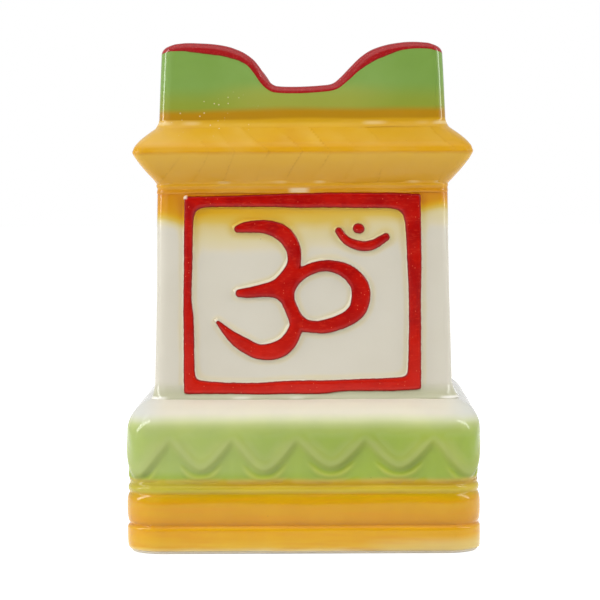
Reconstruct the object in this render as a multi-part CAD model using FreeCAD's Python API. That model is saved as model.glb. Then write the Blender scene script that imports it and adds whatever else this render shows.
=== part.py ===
import FreeCAD, Part
import math
import os

from FreeCAD import Vector

# Tulsi vrindavan planter: a square, hollow ceramic planter stacked from slip-cast pieces.
# From the ground up: a floor slab with a foot ring, a moulded plinth with a scalloped valance,
# a tapered shaft with a framed front, a sharp-nosed cornice, and a crown whose rim dips in the
# middle of every side. The castings are luted with slip, which leaves a fillet round each joint.
# Millimetres. +Z is up, the front looks along -Y, and the origin is the middle of the foot.

# Floor slab with its foot ring and drain hole
foot_inset = 2.0
foot_height = 2.1
foot_edge_bevel = 0.7
foot_ring_width = 9.0
foot_recess_depth = 1.2
slab_thickness = 8.0
slab_clearance = 0.3
drain_radius = 6.0

# Plinth, its bands, groove and bead: the shoulder is as round as the upright corners
plinth_width = 156.4
plinth_corner_radius = 16.0
plinth_height = 67.7
plinth_wall = 6.0
hollow_bevel = 5.0
lower_band_top = 12.7
middle_band_bottom = 14.1
middle_band_top = 26.5
bead_bottom = 27.3
bead_top = 30.7
belly_bottom = 33.3
bottom_edge_inset = 1.2
band_inset = 0.2
groove_depth = 0.9
bead_inset = 0.8
quirk_depth = 0.4
belly_inset = 0.6

# Scalloped valance moulded round the belly of the plinth
scallops_per_side = 4
scallop_peak_level = 49.4
scallop_tip_level = 37.7
scallop_tip_radius = 8.5
scallop_floor_level = 34.1
scallop_relief = 1.1

# Shaft: set back from the plinth's sides, and leaning in towards its head
shaft_setback = 12.5
shaft_lean = 2.0
shaft_height = 93.4
shaft_wall = 5.5

# Cornice: how far its nose stands out from the head of the shaft, and how full its upper slope is
cornice_projection = 10.7
cornice_height = 26.6
cornice_nose_height = 14.2
cornice_fullness = 1.0
cornice_nose_flat = 1.0
cornice_wall = 5.5

# Crown: set back from the head of the shaft, and leaning in towards its rim
crown_setback = 0.7
crown_lean = 1.5
crown_height = 35.6
crown_wall = 5.0
rim_bevel = 1.3

# Dip in the middle of each side of the crown
dip_floor_width = 26.4
dip_depth = 19.2
dip_slope_degrees = 52.0
dip_shoulder_radius = 20.0
dip_heel_radius = 4.0

# Upright corners, outside and inside, of the shaft, cornice and crown
corner_radius = 5.0
inner_corner_radius = 3.0

# Slip fillets: a full one round the foot of the shaft, and fine seams below and above the cornice
fillet_height = 2.6
fillet_width = 1.7
lower_seam_height = 3.8
upper_seam_height = 2.2
seam_width = 0.9
slip_feather = 0.1
slip_steps = 2

# Raised frame on the front of the shaft
frame_side_gap = 13.9
frame_foot_gap = 3.0
frame_head_gap = 5.4
frame_band = 4.8
frame_rise = 1.8
frame_outer_corner = 2.0
frame_inner_corner = 3.4
frame_edge_bevel = 0.8

# How far a cutting solid runs past what it cuts
overrun = 5.0

# Widths that follow from the plinth's, from the ground up
shaft_foot_width = plinth_width - 2 * shaft_setback
shaft_head_width = shaft_foot_width - 2 * shaft_lean
cornice_width = shaft_head_width + 2 * cornice_projection
crown_foot_width = shaft_head_width - 2 * crown_setback
crown_rim_width = crown_foot_width - 2 * crown_lean
frame_width = shaft_foot_width - 2 * frame_side_gap
frame_height = shaft_height - frame_foot_gap - frame_head_gap

# Heights of the joints above the ground
shaft_bottom = plinth_height
shaft_top = shaft_bottom + shaft_height
nose_level = shaft_top + cornice_nose_height
cornice_top = shaft_top + cornice_height
crown_top = cornice_top + crown_height

UP = Vector(0, 0, 1)
SIDES = 4
QUARTER_TURN = 90


def rounded_square(width, radius, level):
    """A level wire: a square with rounded corners, always begun at the same corner."""
    half = width / 2
    inset = half - radius
    edges = []
    for side in range(SIDES):
        turn = math.radians(QUARTER_TURN * side)
        after = math.radians(QUARTER_TURN * (side + 1))
        along = Vector(math.cos(turn), math.sin(turn), 0)
        onward = Vector(math.cos(after), math.sin(after), 0)
        centre = (along + onward) * inset + UP * level
        line_start = along * half - onward * inset + UP * level
        arc_start = centre + along * radius
        arc_middle = centre + (along + onward).normalize() * radius
        arc_end = centre + onward * radius
        edges.append(Part.makeLine(line_start, arc_start))
        edges.append(Part.Arc(arc_start, arc_middle, arc_end).toShape())
    return Part.Wire(edges)


def stacked(sections):
    """A solid through level rounded squares, each a (width, radius, level)."""
    wires = [rounded_square(*section) for section in sections]
    return Part.makeLoft(wires, True, True)


def moulded_block(points, corner_line):
    """A square block with the same moulding round all four sides, ending in a quarter round.

    The points run up the moulding in the XZ plane. It is drawn straight along each side and
    turned round an upright axis at each corner, which stands corner_line from both sides.
    """
    foot = Vector(corner_line, 0, points[0].z)
    shoulder_foot, shoulder_head = points[-2:]
    shoulder_radius = shoulder_head.z - shoulder_foot.z
    shoulder_centre = Vector(shoulder_head.x, 0, shoulder_foot.z)
    shoulder_middle = shoulder_centre + Vector(1, 0, 1).normalize() * shoulder_radius
    edges = [Part.makeLine(foot, points[0])]
    edges += [Part.makeLine(start, end) for start, end in zip(points, points[1:-1])]
    edges.append(Part.Arc(shoulder_foot, shoulder_middle, shoulder_head).toShape())
    edges.append(Part.makeLine(shoulder_head, foot))
    face = Part.Face(Part.Wire(edges))
    face.translate(Vector(0, -corner_line, 0))
    run = 2 * corner_line
    height = shoulder_head.z - foot.z
    block = Part.makeBox(run, run, height, Vector(-corner_line, -corner_line, foot.z))
    pieces = []
    for side in range(SIDES):
        straight = face.extrude(Vector(0, run, 0))
        corner = face.revolve(Vector(corner_line, -corner_line, 0), UP, -QUARTER_TURN)
        for piece in (straight, corner):
            piece.rotate(Vector(), UP, QUARTER_TURN * side)
            pieces.append(piece)
    return block.multiFuse(pieces).removeSplitter()


def plinth_outside():
    """The plinth as a filled block: bands, groove, bead, belly and rounded shoulder."""
    half = plinth_width / 2
    band = half - band_inset
    bead = half - bead_inset
    groove_level = (lower_band_top + middle_band_bottom) / 2
    lower_quirk_level = (middle_band_top + bead_bottom) / 2
    upper_quirk_level = (bead_top + belly_bottom) / 2
    points = [
        Vector(half - bottom_edge_inset, 0, foot_height),
        Vector(band, 0, lower_band_top),
        Vector(band - groove_depth, 0, groove_level),
        Vector(band, 0, middle_band_bottom),
        Vector(band, 0, middle_band_top),
        Vector(bead - quirk_depth, 0, lower_quirk_level),
        Vector(bead, 0, bead_bottom),
        Vector(bead, 0, bead_top),
        Vector(bead - quirk_depth, 0, upper_quirk_level),
        Vector(half - belly_inset, 0, belly_bottom),
        Vector(half, 0, plinth_height - plinth_corner_radius),
        Vector(half - plinth_corner_radius, 0, plinth_height),
    ]
    return moulded_block(points, half - plinth_corner_radius)


def plinth_hollow():
    """The inside of the plinth below its roof, bevelled under the shoulder."""
    width = plinth_width - 2 * plinth_wall
    radius = plinth_corner_radius - plinth_wall
    roof = plinth_height - plinth_wall
    return stacked(
        [
            (width, radius, foot_height - overrun),
            (width, radius, roof - hollow_bevel),
            (width - 2 * hollow_bevel, radius - hollow_bevel, roof),
        ]
    )


def scallop_pitch():
    """The width of one scallop: every side has its own and shares one with each corner."""
    corner_share = math.sqrt(0.5)
    return plinth_width / (scallops_per_side + 2 * corner_share)


def scallop_edges(centre_x):
    """One scallop's lower edge in the XZ plane: two straight flanks and a round tip."""
    half_pitch = scallop_pitch() / 2
    tip_centre = Vector(centre_x, 0, scallop_tip_level + scallop_tip_radius)
    rise = scallop_peak_level - tip_centre.z
    reach = math.hypot(half_pitch, rise)
    turn = math.atan2(rise, half_pitch) - math.acos(scallop_tip_radius / reach)
    across = math.cos(turn) * scallop_tip_radius
    drop = math.sin(turn) * scallop_tip_radius
    left_peak = Vector(centre_x - half_pitch, 0, scallop_peak_level)
    right_peak = Vector(centre_x + half_pitch, 0, scallop_peak_level)
    left_foot = tip_centre + Vector(-across, 0, drop)
    right_foot = tip_centre + Vector(across, 0, drop)
    tip = Vector(centre_x, 0, scallop_tip_level)
    return [
        Part.makeLine(left_peak, left_foot),
        Part.Arc(left_foot, tip, right_foot).toShape(),
        Part.makeLine(right_foot, right_peak),
    ]


def scallop_cutter(count):
    """A block reaching out along -Y, with as many scallops cut out of its upper edge."""
    pitch = scallop_pitch()
    half_run = count * pitch / 2
    edges = []
    for index in range(count):
        edges += scallop_edges((index + 0.5) * pitch - half_run)
    left_foot = Vector(-half_run, 0, scallop_floor_level)
    right_foot = Vector(half_run, 0, scallop_floor_level)
    edges.append(Part.makeLine(Vector(half_run, 0, scallop_peak_level), right_foot))
    edges.append(Part.makeLine(right_foot, left_foot))
    edges.append(Part.makeLine(left_foot, Vector(-half_run, 0, scallop_peak_level)))
    return Part.Face(Part.Wire(edges)).extrude(Vector(0, -plinth_width, 0))


def valance_recess():
    """The sunk ground below the scallops, all the way round the plinth."""
    cutters = []
    for side in range(SIDES):
        straight = scallop_cutter(scallops_per_side)
        straight.rotate(Vector(), UP, QUARTER_TURN * side)
        corner = scallop_cutter(1)
        corner.rotate(Vector(), UP, QUARTER_TURN * (side + 0.5))
        cutters += [straight, corner]
    ground_width = plinth_width - 2 * scallop_relief
    ground_radius = plinth_corner_radius - scallop_relief
    ground = stacked(
        [
            (ground_width, ground_radius, scallop_floor_level - overrun),
            (ground_width, ground_radius, scallop_peak_level + overrun),
        ]
    )
    return cutters[0].multiFuse(cutters[1:]).cut(ground)


def make_plinth():
    """The hollow plinth casting, open below for the slab and above under the shaft."""
    well_width = shaft_foot_width - 2 * shaft_wall
    well = stacked(
        [
            (well_width, inner_corner_radius, plinth_height - plinth_wall - overrun),
            (well_width, inner_corner_radius, plinth_height + overrun),
        ]
    )
    return plinth_outside().cut(valance_recess()).cut(plinth_hollow()).cut(well)


def make_floor_slab():
    """The floor with its foot ring: the plinth's lower edge stands on its flange."""
    foot_width = plinth_width - 2 * foot_inset
    foot_radius = plinth_corner_radius - foot_inset
    bevelled_width = foot_width - 2 * foot_edge_bevel
    plug_inset = plinth_wall + slab_clearance
    plug_width = plinth_width - 2 * plug_inset
    plug_radius = plinth_corner_radius - plug_inset
    recess_width = foot_width - 2 * foot_ring_width
    flange = stacked(
        [
            (bevelled_width, foot_radius - foot_edge_bevel, 0),
            (foot_width, foot_radius, foot_edge_bevel),
            (foot_width, foot_radius, foot_height),
        ]
    )
    plug = stacked([(plug_width, plug_radius, foot_height), (plug_width, plug_radius, slab_thickness)])
    recess = stacked(
        [
            (recess_width, inner_corner_radius, -overrun),
            (recess_width, inner_corner_radius, foot_recess_depth),
        ]
    )
    drain = Part.makeCylinder(drain_radius, slab_thickness + 2 * overrun, Vector(0, 0, -overrun))
    return flange.fuse(plug).removeSplitter().cut(recess).cut(drain)


def shaft_outside():
    """The shaft as a filled, tapered block."""
    return stacked(
        [
            (shaft_foot_width, corner_radius, shaft_bottom),
            (shaft_head_width, corner_radius, shaft_top),
        ]
    )


def tapered_bore(foot_width, head_width, bottom, top):
    """The inside of a tapered square tube, run on at both ends along the same taper."""
    spread = (head_width - foot_width) / (top - bottom) * overrun
    return stacked(
        [
            (foot_width - spread, inner_corner_radius, bottom - overrun),
            (head_width + spread, inner_corner_radius, top + overrun),
        ]
    )


def make_shaft():
    """The tapered square shaft, an even wall all round."""
    foot_bore = shaft_foot_width - 2 * shaft_wall
    head_bore = shaft_head_width - 2 * shaft_wall
    return shaft_outside().cut(tapered_bore(foot_bore, head_bore, shaft_bottom, shaft_top))


def cornice_outside():
    """The cornice as a filled block: out to the nose, then back in to the foot of the crown."""
    half_flat = cornice_nose_flat / 2
    slope_foot = nose_level + half_flat
    middle_width = (cornice_width + crown_foot_width) / 2 + 2 * cornice_fullness
    return stacked(
        [
            (shaft_head_width, corner_radius, shaft_top),
            (cornice_width, corner_radius, nose_level - half_flat),
            (cornice_width, corner_radius, slope_foot),
            (middle_width, corner_radius, (slope_foot + cornice_top) / 2),
            (crown_foot_width, corner_radius, cornice_top),
        ]
    )


def make_cornice():
    """The hollow cornice, one wall thick behind both of its slopes."""
    lower_run = (cornice_width - shaft_head_width) / 2
    lower_slant = math.hypot(lower_run, cornice_nose_height)
    nose_inset = cornice_wall * lower_slant / cornice_nose_height
    hollow = stacked(
        [
            (shaft_head_width - 2 * shaft_wall, inner_corner_radius, shaft_top),
            (cornice_width - 2 * nose_inset, inner_corner_radius, nose_level),
            (crown_foot_width - 2 * crown_wall, inner_corner_radius, cornice_top),
        ]
    )
    return cornice_outside().cut(hollow)


def crown_outside():
    """The crown as a filled, tapered block, before its sides are dipped."""
    return stacked(
        [
            (crown_foot_width, corner_radius, cornice_top),
            (crown_rim_width, corner_radius, crown_top),
        ]
    )


def mirrored(point):
    """The same place on the other side of the middle."""
    return Vector(-point.x, point.y, point.z)


def dip_cutter():
    """What the dips take out of two facing sides: a level floor between two S-curved slopes."""
    angle = math.radians(dip_slope_degrees)
    floor = crown_top - dip_depth
    rounding_drop = (dip_shoulder_radius + dip_heel_radius) * (1 - math.cos(angle))
    slope_length = (dip_depth - rounding_drop) / math.sin(angle)
    heel_centre = Vector(dip_floor_width / 2, 0, floor + dip_heel_radius)
    along_slope = Vector(math.cos(angle), 0, math.sin(angle))
    off_slope = Vector(math.sin(angle), 0, -math.cos(angle))

    def on_heel(turn):
        return heel_centre + Vector(math.sin(turn), 0, -math.cos(turn)) * dip_heel_radius

    slope_head = on_heel(angle) + along_slope * slope_length
    shoulder_centre = slope_head + off_slope * dip_shoulder_radius

    def on_shoulder(turn):
        return shoulder_centre + Vector(-math.sin(turn), 0, math.cos(turn)) * dip_shoulder_radius

    lip = on_shoulder(0)
    above_lip = Vector(lip.x, 0, crown_top + overrun)
    edges = [
        Part.makeLine(mirrored(on_heel(0)), on_heel(0)),
        Part.makeLine(above_lip, mirrored(above_lip)),
    ]
    for side in (Vector, mirrored):
        edges.append(Part.Arc(side(on_heel(0)), side(on_heel(angle / 2)), side(on_heel(angle))).toShape())
        edges.append(Part.makeLine(side(on_heel(angle)), side(slope_head)))
        edges.append(Part.Arc(side(slope_head), side(on_shoulder(angle / 2)), side(lip)).toShape())
        edges.append(Part.makeLine(side(lip), side(above_lip)))
    reach = crown_foot_width / 2 + overrun
    face = Part.Face(Part.Wire(Part.sortEdges(edges)[0]))
    face.translate(Vector(0, -reach, 0))
    return face.extrude(Vector(0, 2 * reach, 0))


def crosses_wall(edge):
    """True for an edge of the crown that runs from its outer face to its inner face."""
    slope = -crown_lean / crown_height
    depths = []
    for vertex in edge.Vertexes:
        face_distance = crown_foot_width / 2 + (vertex.Z - cornice_top) * slope
        depths.append(face_distance - max(abs(vertex.X), abs(vertex.Y)))
    return max(depths) - min(depths) > crown_wall / 2


def make_crown():
    """The crown: a horn at each corner, a dip in each side and a rim eased on both faces."""
    foot_bore = crown_foot_width - 2 * crown_wall
    head_bore = crown_rim_width - 2 * crown_wall
    crown = crown_outside().cut(tapered_bore(foot_bore, head_bore, cornice_top, crown_top))
    for quarter in range(2):
        cutter = dip_cutter()
        cutter.rotate(Vector(), UP, QUARTER_TURN * quarter)
        crown = crown.cut(cutter)
    above_foot = cornice_top + (crown_height - dip_depth) / 2
    rim = [
        edge
        for edge in crown.Edges
        if min(vertex.Z for vertex in edge.Vertexes) > above_foot and not crosses_wall(edge)
    ]
    return crown.makeChamfer(rim_bevel, rim)


def slip_fillet(casting_size, joint, away, fillet_size, castings):
    """A hollow-faced fillet of slip in the angle at a joint.

    The casting size is its width and corner radius at the joint, and the fillet size is a width
    and a height. The fillet is widest at the joint and thins out above it where away is 1, or
    below it where away is -1. Below its widest line it runs into the other casting.
    """
    casting_width, casting_radius = casting_size
    fillet_reach, fillet_rise = fillet_size
    widest = fillet_reach + slip_feather
    sections = [
        (casting_width + 2 * widest, casting_radius + widest, joint - away * 2 * fillet_reach)
    ]
    for step in range(slip_steps + 1):
        share = step / slip_steps
        spread = fillet_reach * (1 - share) ** 2 + slip_feather
        level = joint + away * fillet_rise * share
        sections.append((casting_width + 2 * spread, casting_radius + spread, level))
    fillet = stacked(sections[::away])
    for casting in castings:
        fillet = fillet.cut(casting)
    return fillet


def frame_plate(width, height, radius, front, back):
    """An upright plate with rounded corners, centred on the origin, from y = front to y = back."""
    corner = Vector(-width / 2, front, -height / 2)
    plate = Part.makeBox(width, back - front, height, corner)
    through = [
        edge
        for edge in plate.Edges
        if abs(edge.Vertexes[0].Y - edge.Vertexes[-1].Y) > (back - front) / 2
    ]
    return plate.makeFillet(radius, through)


def make_front_frame():
    """The raised frame, leaning back with the front face of the shaft."""
    lean = math.degrees(math.atan(shaft_lean / shaft_height))
    centre_height = frame_foot_gap + frame_height / 2
    centre_width = shaft_foot_width - 2 * shaft_lean * centre_height / shaft_height
    window_width = frame_width - 2 * frame_band
    window_height = frame_height - 2 * frame_band
    outer = frame_plate(frame_width, frame_height, frame_outer_corner, -frame_rise, 0)
    window = frame_plate(window_width, window_height, frame_inner_corner, -overrun, overrun)
    frame = outer.cut(window)
    front_edges = [
        edge
        for edge in frame.Edges
        if max(vertex.Y for vertex in edge.Vertexes) < -frame_rise / 2
    ]
    frame = frame.makeChamfer(frame_edge_bevel, front_edges)
    frame.rotate(Vector(), Vector(1, 0, 0), -lean)
    frame.translate(Vector(0, -centre_width / 2, shaft_bottom + centre_height))
    return frame


def make_slip_joints():
    """The three slip fillets: shaft on plinth, cornice on shaft and crown on cornice."""
    plinth = plinth_outside()
    shaft = shaft_outside()
    cornice = cornice_outside()
    crown = crown_outside()
    shaft_foot = (shaft_foot_width, corner_radius)
    shaft_head = (shaft_head_width, corner_radius)
    crown_foot = (crown_foot_width, corner_radius)
    fillet = (fillet_width, fillet_height)
    lower_seam = (seam_width, lower_seam_height)
    upper_seam = (seam_width, upper_seam_height)
    return {
        "plinth_slip_joint": slip_fillet(shaft_foot, shaft_bottom, 1, fillet, [plinth, shaft]),
        "cornice_slip_joint": slip_fillet(shaft_head, shaft_top, -1, lower_seam, [shaft, cornice]),
        "crown_slip_joint": slip_fillet(crown_foot, cornice_top, 1, upper_seam, [cornice, crown]),
    }


def main():
    os.makedirs("parts", exist_ok=True)
    nodes = {
        "floor_slab": make_floor_slab(),
        "plinth": make_plinth(),
        "shaft": make_shaft(),
        "cornice": make_cornice(),
        "crown": make_crown(),
        "front_frame": make_front_frame(),
    }
    nodes.update(make_slip_joints())
    for name, shape in nodes.items():
        print(name, "valid", shape.isValid(), "solids", len(shape.Solids), "volume", round(shape.Volume))
        shape.exportStep(os.path.join("parts", name + ".step"))


main()
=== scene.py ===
import math

import bpy
import numpy as np
from mathutils import Matrix, Quaternion, Vector


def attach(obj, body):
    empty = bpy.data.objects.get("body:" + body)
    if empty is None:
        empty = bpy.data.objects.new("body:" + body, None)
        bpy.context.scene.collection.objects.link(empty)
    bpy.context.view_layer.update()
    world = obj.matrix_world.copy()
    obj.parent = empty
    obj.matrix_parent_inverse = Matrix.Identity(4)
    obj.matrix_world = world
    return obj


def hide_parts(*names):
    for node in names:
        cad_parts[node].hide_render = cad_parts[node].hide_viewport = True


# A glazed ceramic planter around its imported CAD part. Lengths are millimetres until MM turns
# them into metres. The front looks along -Y, and the origin is the middle of the foot.

MM = 0.001

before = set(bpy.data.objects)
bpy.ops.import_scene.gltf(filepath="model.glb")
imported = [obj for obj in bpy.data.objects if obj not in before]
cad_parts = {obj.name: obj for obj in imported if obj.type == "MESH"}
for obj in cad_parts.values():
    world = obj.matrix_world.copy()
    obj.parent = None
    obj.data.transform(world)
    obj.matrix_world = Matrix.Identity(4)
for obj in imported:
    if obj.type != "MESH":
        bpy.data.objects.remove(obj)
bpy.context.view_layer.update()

# Forms that repeat the CAD part's values
PLINTH_HALF = 78.2
PLINTH_CORNER = 16
PLINTH_TOP = 67.7
PLINTH_WALL = 6
SHOULDER = 16
SHOULDER_FOOT = PLINTH_TOP - SHOULDER
SHAFT_FOOT_HALF = 65.7
SHAFT_HEAD_HALF = 63.7
SHAFT_TOP = 161.1
CORNICE_HALF = 74.4
NOSE_LEVEL = 175.3
CORNICE_TOP = 187.7
CROWN_FOOT_HALF = 63
CROWN_RIM_HALF = 61.5
CROWN_TOP = 223.3
CORNER = 5
INNER_CORNER = 3
WALL = 5.5
CROWN_WALL = 5


# Rounded squares as rings of stations

# The outward direction of each side, and the way along it
SIDES = [
    (np.array(out, float), np.array(along, float))
    for out, along in [((0, -1), (1, 0)), ((1, 0), (0, 1)), ((0, 1), (-1, 0)), ((-1, 0), (0, -1))]
]


def stations(cuts, corner_steps):
    """Centre directions and outward normals of the stations round a rounded square.

    The cuts are one rising list for each side, from -1 at its first corner to 1 at its last.
    """
    centres = []
    normals = []
    for (out, along), side_cuts in zip(SIDES, cuts):
        for cut in side_cuts:
            centres.append(out + along * cut)
            normals.append(out)
        for step in range(1, corner_steps):
            turn = math.pi / 2 * step / corner_steps
            centres.append(out + along)
            normals.append(out * math.cos(turn) + along * math.sin(turn))
    return np.array(centres), np.array(normals)


def even_cuts(count):
    return [np.linspace(-1, 1, count + 1)] * 4


def row(ring, half, radius, level, push=0):
    """One row of points: a rounded square at a level, pushed out along its normals."""
    centres, normals = ring
    half, radius, level, push = (np.broadcast_to(v, len(centres)) for v in (half, radius, level, push))
    flat = centres * (half - radius)[:, None] + normals * (radius + push)[:, None]
    return np.column_stack([flat, level])


def round_row(ring, radius, level):
    """A row of points on a circle, matched with a rounded square's stations."""
    centres, normals = ring
    ways = centres * 0.85 + normals * 0.15
    ways /= np.linalg.norm(ways, axis=1)[:, None]
    return np.column_stack([ways * radius, np.full(len(ways), level)])


# Slow unevenness of things made by hand, and soft curves

def waves(count, longest, shortest, seed):
    """Random plane waves for unevenness(), between two wavelengths."""
    made = np.random.default_rng(seed)
    lengths = np.exp(made.uniform(math.log(shortest), math.log(longest), count))
    ways = made.normal(size=(count, 3))
    ways /= np.linalg.norm(ways, axis=1)[:, None]
    return ways * (2 * math.pi / lengths)[:, None], made.uniform(0, 2 * math.pi, count)


def unevenness(points, wave_set):
    """A smooth random value from about -1 to 1 at each point."""
    ways, phases = wave_set
    return np.sin(points @ ways.T + phases).sum(1) / math.sqrt(len(phases) * 1.2)


def smooth(value):
    """A soft step as the value goes from 0 to 1."""
    value = np.clip(value, 0, 1)
    return value * value * (3 - 2 * value)


def hump(value, centre, reach):
    """1 at the centre, falling softly to 0 at the reach either way."""
    return np.cos(np.clip((value - centre) / reach, -1, 1) * math.pi / 2) ** 2


def curve_through(knots, steps):
    """A smooth curve through points: Catmull-Rom, with the ends doubled."""
    knots = np.array(knots, float)
    padded = np.vstack([knots[0] * 2 - knots[1], knots, knots[-1] * 2 - knots[-2]])
    share = np.arange(steps)[:, None] / steps
    square = share ** 2
    cube = share ** 3
    made = []
    for before, start, end, after in zip(padded, padded[1:], padded[2:], padded[3:]):
        ends = start * (2 * cube - 3 * square + 1) + end * (3 * square - 2 * cube)
        leaving = 0.5 * (end - before) * (cube - 2 * square + share)
        arriving = 0.5 * (after - start) * (cube - square)
        made.append(ends + leaving + arriving)
    made.append(knots[-1:])
    return np.concatenate(made)


def spaced(curve, gap):
    """The same curve with its points evenly spaced, about a gap apart."""
    steps = np.linalg.norm(np.diff(curve[:, :2], axis=0), axis=1)
    lengths = np.concatenate([[0], np.cumsum(steps)])
    places = np.linspace(0, lengths[-1], max(2, round(lengths[-1] / gap)) + 1)
    return np.column_stack([np.interp(places, lengths, part) for part in curve.T])


def averaged(curve, reach):
    """The same curve with each point averaged with its neighbours, and its ends kept."""
    padded = np.pad(curve, ((reach, reach), (0, 0)), "reflect", reflect_type="odd")
    share = np.full(2 * reach + 1, 1 / (2 * reach + 1))
    return np.column_stack([np.convolve(part, share, "valid") for part in padded.T])


# Pieces

def placed(name, data):
    """A new object in the scene."""
    made = bpy.data.objects.new(name, data)
    bpy.context.scene.collection.objects.link(made)
    return made


def make_piece(name, points, faces, nodes, materials, inside_from, values, crease):
    """A smooth-shaded mesh that rides on the part, with its point attributes.

    Faces from the given number on have the second material.
    """
    mesh = bpy.data.meshes.new(name)
    mesh.from_pydata((points * MM).tolist(), [], faces)
    for attribute_name, numbers in values.items():
        attribute = mesh.attributes.new(attribute_name, "FLOAT", "POINT")
        attribute.data.foreach_set("value", np.asarray(numbers, np.float32))
    for material in materials:
        mesh.materials.append(material)
    if inside_from:
        inside = np.arange(len(mesh.polygons)) >= inside_from
        mesh.polygons.foreach_set("material_index", inside.astype(np.int32))
    mesh.shade_smooth()
    mesh.set_sharp_from_angle(angle=math.radians(crease))
    mesh.validate()
    piece = placed(name, mesh)
    if nodes:
        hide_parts(*nodes)
    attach(piece, "root")


def ring_piece(name, rows, nodes, materials, outside_rows=0, values=None, crease=40):
    """A closed band of rows, each joined to the next and the last to the first."""
    count = len(rows[0])
    at = np.arange(count)
    after = (at + 1) % count
    faces = []
    for index in range(len(rows)):
        low = index * count
        high = (index + 1) % len(rows) * count
        faces += np.column_stack([low + at, low + after, high + after, high + at]).tolist()
    stacked = {key: np.concatenate(numbers) for key, numbers in (values or {}).items()}
    inside_from = outside_rows * count
    make_piece(name, np.concatenate(rows), faces, nodes, materials, inside_from, stacked, crease)


# Shaders

def colour(red, green, blue):
    """A colour written as it shows on a screen, 0 to 255."""
    linear = []
    for part in (red, green, blue):
        share = part / 255
        linear.append(share / 12.92 if share <= 0.04045 else ((share + 0.055) / 1.055) ** 2.4)
    return (*linear, 1)


class Nodes:
    """A node tree, with short calls for the nodes that the materials and the world use."""

    def __init__(self, owner, output):
        owner.use_nodes = True
        self.tree = owner.node_tree
        self.tree.nodes.clear()
        self.shown = self.node(output).inputs["Surface"]

    def put(self, value, socket):
        if isinstance(value, bpy.types.NodeSocket):
            self.tree.links.new(value, socket)
        else:
            socket.default_value = value

    def node(self, kind, inputs=None, **settings):
        """A new node with its settings, and a link or a value for each of some inputs."""
        made = self.tree.nodes.new("ShaderNode" + kind)
        for name, setting in settings.items():
            setattr(made, name, setting)
        for name, value in (inputs or {}).items():
            self.put(value, made.inputs[name])
        return made

    def value(self, operation, first, second=0):
        return self.node("Math", {0: first, 1: second}, operation=operation).outputs[0]

    def times(self, product, *factors):
        for factor in factors:
            product = self.value("MULTIPLY", product, factor)
        return product

    def step(self, value, low, high, to_low=0, to_high=1):
        """A soft step as the value goes from low to high."""
        inputs = {"Value": value, "From Min": low, "From Max": high, "To Min": to_low, "To Max": to_high}
        return self.node("MapRange", inputs, interpolation_type="SMOOTHSTEP").outputs[0]

    def seen_ray(self):
        """1 for a ray from the camera, or one that a glossy or clear surface sends on."""
        path = self.node("LightPath").outputs
        seen = self.value("MAXIMUM", path["Is Camera Ray"], path["Is Glossy Ray"])
        return self.value("MAXIMUM", seen, path["Is Transmission Ray"])

    def show_choice(self, plain, seen):
        """Shows one shader to the light, and another to the rays that are seen."""
        choice = self.node("MixShader", {0: self.seen_ray(), 1: plain, 2: seen})
        self.put(choice.outputs[0], self.shown)


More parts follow.
